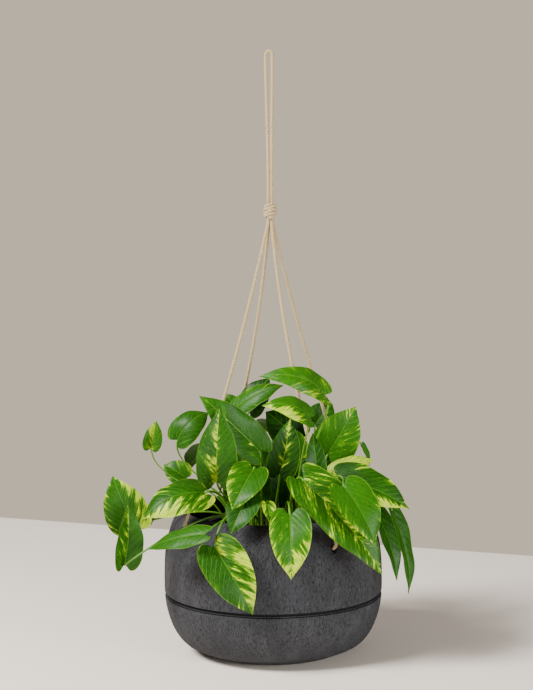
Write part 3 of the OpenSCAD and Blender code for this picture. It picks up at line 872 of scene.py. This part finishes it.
def leaf_mesh(number, row):
    """Verts, faces, face materials and the two fields of a leaf: blade first, then stalk, in millimetres."""
    rng = np.random.default_rng(100 + number)
    mid, normal, s, a, out, vein = blade_surface(rng, row)
    verts, faces, kinds = blade_mesh(mid, normal, s, a)
    place = np.stack([s * np.ones_like(a), a * np.ones_like(s)], -1).reshape(-1, 2)
    veins = np.stack([out, vein], -1).reshape(-1, 2)

    line, neck = stalk_line(row, mid, normal, a)
    run = distance_along(line)
    neck_at = run[np.argmin(np.linalg.norm(line - neck, axis=1))]
    to_neck = np.clip(run / neck_at, 0, 1)
    past = np.clip((run - neck_at) / max(run[-1] - neck_at, 1e-6), 0, 1)
    swell = np.exp(-(((run - neck_at + 5) / 6) ** 2))
    size = np.linalg.norm(np.subtract(row[3], row[2])) / USUAL_LENGTH
    radius = (1.75 - 0.55 * to_neck + 0.4 * swell) * size**0.3 * (1 - 0.85 * past**0.6)
    tube, tube_faces = tube_rings(line, np.repeat(radius[:, None], STALK_SIDES, axis=1), STALK_SIDES)
    faces += [tuple(len(verts) + v for v in f) for f in tube_faces]
    verts += tube
    kinds += [2] * len(tube_faces)
    around = np.tile(np.arange(STALK_SIDES) / STALK_SIDES, len(line))
    ring = np.stack([around, np.repeat(run / 100, STALK_SIDES)], -1)
    ring = np.vstack([ring, ring[0], ring[-1]])
    return verts, faces, kinds, np.vstack([place, place, ring]), np.vstack([veins, veins, ring])


def leaf_group():
    """Paints a blade: green between pale veins, with yellow and cream markings drawn out along the veins."""
    tree = bpy.data.node_groups.new("leaf_paint", "ShaderNodeTree")
    for name in ("Seed", "Left", "Right", "Margin", "Tip", "Cream", "Tone", "Under"):
        tree.interface.new_socket(name, in_out="INPUT", socket_type="NodeSocketFloat")
    for name, kind in (("Colour", "Color"), ("Roughness", "Float"), ("Height", "Float")):
        tree.interface.new_socket(name, in_out="OUTPUT", socket_type="NodeSocket" + kind)
    n = Nodes(tree)
    given = tree.nodes.new("NodeGroupInput").outputs
    result = tree.nodes.new("NodeGroupOutput")
    s, a, _ = n.split(n.add("ShaderNodeUVMap", {"uv_map": "place"}).outputs["UV"])
    out, along, _ = n.split(n.add("ShaderNodeUVMap", {"uv_map": "veins"}).outputs["UV"])
    seed = n.times(given["Seed"], 7.31)
    far = n.math("ABSOLUTE", s)
    reach = n.math("ABSOLUTE", out)
    half = n.step(s, -0.02, 0.02)
    half_seed = n.times_plus(half, 3.7, seed)

    streak_at = n.vector(n.times(reach, 0.055), n.times(along, 0.17), half_seed)
    streaks = n.noise(streak_at, 1.0, 5.0, 0.62, 0.25)
    patch_at = n.vector(n.times(reach, 0.05), n.times(along, 0.055), n.plus(half_seed, 9.0))
    patches = n.noise(patch_at, 1.0, 2.0, 0.5, 0.4)
    fleck_at = n.vector(n.times(reach, 0.22), n.times(along, 0.7), n.plus(half_seed, 5.0))
    flecks = n.noise(fleck_at, 1.0, 3.0, 0.6)

    amount = n.plus(n.times(given["Right"], half), n.times(given["Left"], n.minus(1.0, half)))
    bias = n.plus(n.times(given["Margin"], n.minus(far, 0.55)), n.times(given["Tip"], n.minus(a, 0.5)))
    field = n.plus(n.times(streaks, 0.55), n.times(patches, 0.45))
    field = n.plus(field, n.times(bias, 0.3))
    field = n.plus(field, n.times_plus(flecks, 0.18, -0.09))
    level = n.times_plus(amount, -0.40, 0.71)
    marks = n.step(field, n.minus(level, 0.022), n.plus(level, 0.022))
    gaps = n.step(flecks, 0.55, 0.47)
    marks = n.times(marks, n.times_plus(gaps, -0.6, 1.0))
    halo = n.step(field, n.minus(level, 0.10), n.plus(level, 0.01))
    rare = n.times(n.step(flecks, 0.66, 0.72), n.step(amount, 0.02, 0.3))

    vein = n.math("COSINE", n.times(along, 0.62))
    ribs = n.times(n.step(vein, 0.86, 1.0), n.step(reach, 0.4, 3.0))
    fine = n.noise(n.vector(n.times(reach, 0.35), n.times(along, 1.8), seed), 1.0, 3.0, 0.6)
    midrib = n.step(reach, 1.0, 0.35)

    deep = n.mix(given["Tone"], colour(8, 33, 3), colour(29, 80, 6))
    bright = n.mix(given["Tone"], colour(17, 57, 4), colour(62, 123, 12))
    green = n.mix(n.step(fine, 0.32, 0.68), deep, bright)
    green = n.mix(n.times(n.step(patches, 0.4, 0.7), 0.3), green, colour(46, 104, 22))
    green = n.mix(n.times(ribs, 0.16), green, colour(86, 140, 30))
    green = n.mix(n.times(halo, 0.55), green, colour(98, 152, 4))
    creamy = n.times(n.step(n.plus(patches, n.times(flecks, 0.4)), 0.55, 0.85), given["Cream"])
    pale = n.mix(creamy, colour(176, 204, 8), colour(206, 218, 72))
    painted = n.mix(n.math("MAXIMUM", marks, n.times(rare, 0.8)), green, pale)
    painted = n.mix(n.times(midrib, 0.3), painted, colour(100, 150, 40))
    rim = n.times(n.step(far, 0.955, 1.0), 0.45)
    painted = n.mix(rim, painted, colour(120, 165, 30))
    below = n.mix(0.4, painted, colour(84, 128, 50))
    n.put(result.inputs["Colour"], n.mix(given["Under"], painted, below))
    n.put(result.inputs["Roughness"], n.plus(n.times_plus(fine, 0.14, 0.33), n.times(given["Under"], 0.25)))
    height = n.plus(n.times(fine, 0.35), n.times(ribs, -0.5))
    height = n.plus(height, n.times(midrib, -1.0))
    n.put(result.inputs["Height"], n.plus(height, n.times(marks, -0.12)))
    return tree


def leaf_material(name, number, look, under):
    """One side of a blade: under is 0 for its upper face and 1 for its duller lower face."""
    tone, left, right, margin, tip, cream = look
    mat, n, shader = material(name, 0.4, 0.15)
    paint = n.add("ShaderNodeGroup", {"node_tree": LEAF_PAINT})
    for key, value in (
        ("Seed", number * 1.7), ("Left", left), ("Right", right), ("Margin", margin), ("Tip", tip),
        ("Cream", cream), ("Tone", tone), ("Under", under),
    ):
        paint.inputs[key].default_value = value
    n.put(shader.inputs["Base Color"], paint.outputs["Colour"])
    n.put(shader.inputs["Roughness"], paint.outputs["Roughness"])
    n.put(shader.inputs["Normal"], n.bump(paint.outputs["Height"], 0.45, 0.0006))
    shader.inputs["Coat Weight"].default_value = 0.0 if under else 0.02
    shader.inputs["Coat Roughness"].default_value = 0.25
    return mat


def stalk_material():
    """Ribbed light green, darkened down in the pot with painted shade."""
    mat, n, shader = material("leaf_stalk", 0.42, 0.5)
    place = n.add("ShaderNodeTexCoord").outputs["Object"]
    uv = n.add("ShaderNodeUVMap", {"uv_map": "place"}).outputs["UV"]
    around, run, _ = n.split(uv)
    ribs = n.noise(n.vector(n.times(around, 14.0), n.times(run, 6.0)), 1.0, 3.0, 0.6)
    cloud = n.noise(place, 30.0, 2.0)
    _, _, high = n.split(place)
    # Painted shade: the stalks darken from just above the pot's rim downwards.
    low = n.step(high, FOOT + 235 * MM, FOOT + 165 * MM)
    tone = n.mix(n.step(cloud, 0.35, 0.7), colour(52, 108, 8), colour(96, 150, 20))
    tone = n.mix(n.step(ribs, 0.45, 0.8), tone, colour(120, 170, 44))
    tone = n.mix(n.times(low, 0.6), tone, colour(40, 74, 12))
    n.put(shader.inputs["Base Color"], tone)
    n.put(shader.inputs["Roughness"], n.times_plus(ribs, 0.2, 0.35))
    n.put(shader.inputs["Normal"], n.bump(ribs, 0.4, 0.0005))
    return mat


def add_plant():
    """All leaves. The inner ones stand for no CAD part, so they replace nothing."""
    stalk = stalk_material()
    rows, looks = [*LEAVES, *INNER], [*LOOKS, *[INNER_SHADE_LOOK] * len(INNER)]
    for number, (row, look) in enumerate(zip(rows, looks, strict=True), 1):
        inner = number > len(LEAVES)
        name = f"inner_{number - len(LEAVES)}" if inner else f"leaf_{number:02d}"
        verts, faces, kinds, place, veins = leaf_mesh(number, row)
        ob = mesh_object("blade_and_stalk_" + name, [spot(*v) for v in verts], faces)
        set_uv(ob, "place", place)
        set_uv(ob, "veins", veins)
        for side, under in (("_top", 0.0), ("_under", 1.0)):
            ob.data.materials.append(leaf_material(name + side, number, look, under))
        ob.data.materials.append(stalk)
        ob.data.polygons.foreach_set("material_index", kinds)
        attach(ob, "planter")
        if not inner:
            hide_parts(name)


# ---- floor, in metres ----

FLOOR_TURN = math.radians(-21.5)
FLOOR_BACK, FLOOR_FRONT, FLOOR_SIDE = 0.69, 1.9, 2.6
FLOOR_GAP = 0.5 * MM
FLOOR_COLOUR = (0.90, 0.83, 0.755, 1)


def add_floor():
    """A pale sheet just under the pot, turned so that its far edge crosses behind it at a slant."""
    turn = Matrix.Rotation(FLOOR_TURN, 4, "Z")
    x, front, back = FLOOR_SIDE, -FLOOR_FRONT, FLOOR_BACK
    around = ((-x, front), (x, front), (x, back), (-x, back))
    corners = [turn @ Vector((*at, FOOT - FLOOR_GAP)) for at in around]
    floor = mesh_object("floor", corners, [(0, 1, 2, 3)])
    mat, _, shader = material("studio_floor", 0.85, 0.2)
    shader.inputs["Base Color"].default_value = FLOOR_COLOUR
    floor.data.materials.append(mat)


add_camera()
add_world()
add_light("key", (-1.75, -1.1, 1.25), (0, 0, -0.6), 1.0, 176, (1.0, 0.97, 0.93))
add_light("fill", (1.9, -2.2, -0.3), (0, 0, -0.62), 1.4, 98, (1.0, 0.99, 0.97))
COTTON = cord_material()
LEAF_PAINT = leaf_group()
add_knot()
knot_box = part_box("knot_core")
add_hanger_cords()
add_loop(knot_box[1].z)
add_pot()
add_soil()
add_plastic()
add_plant()
add_floor()
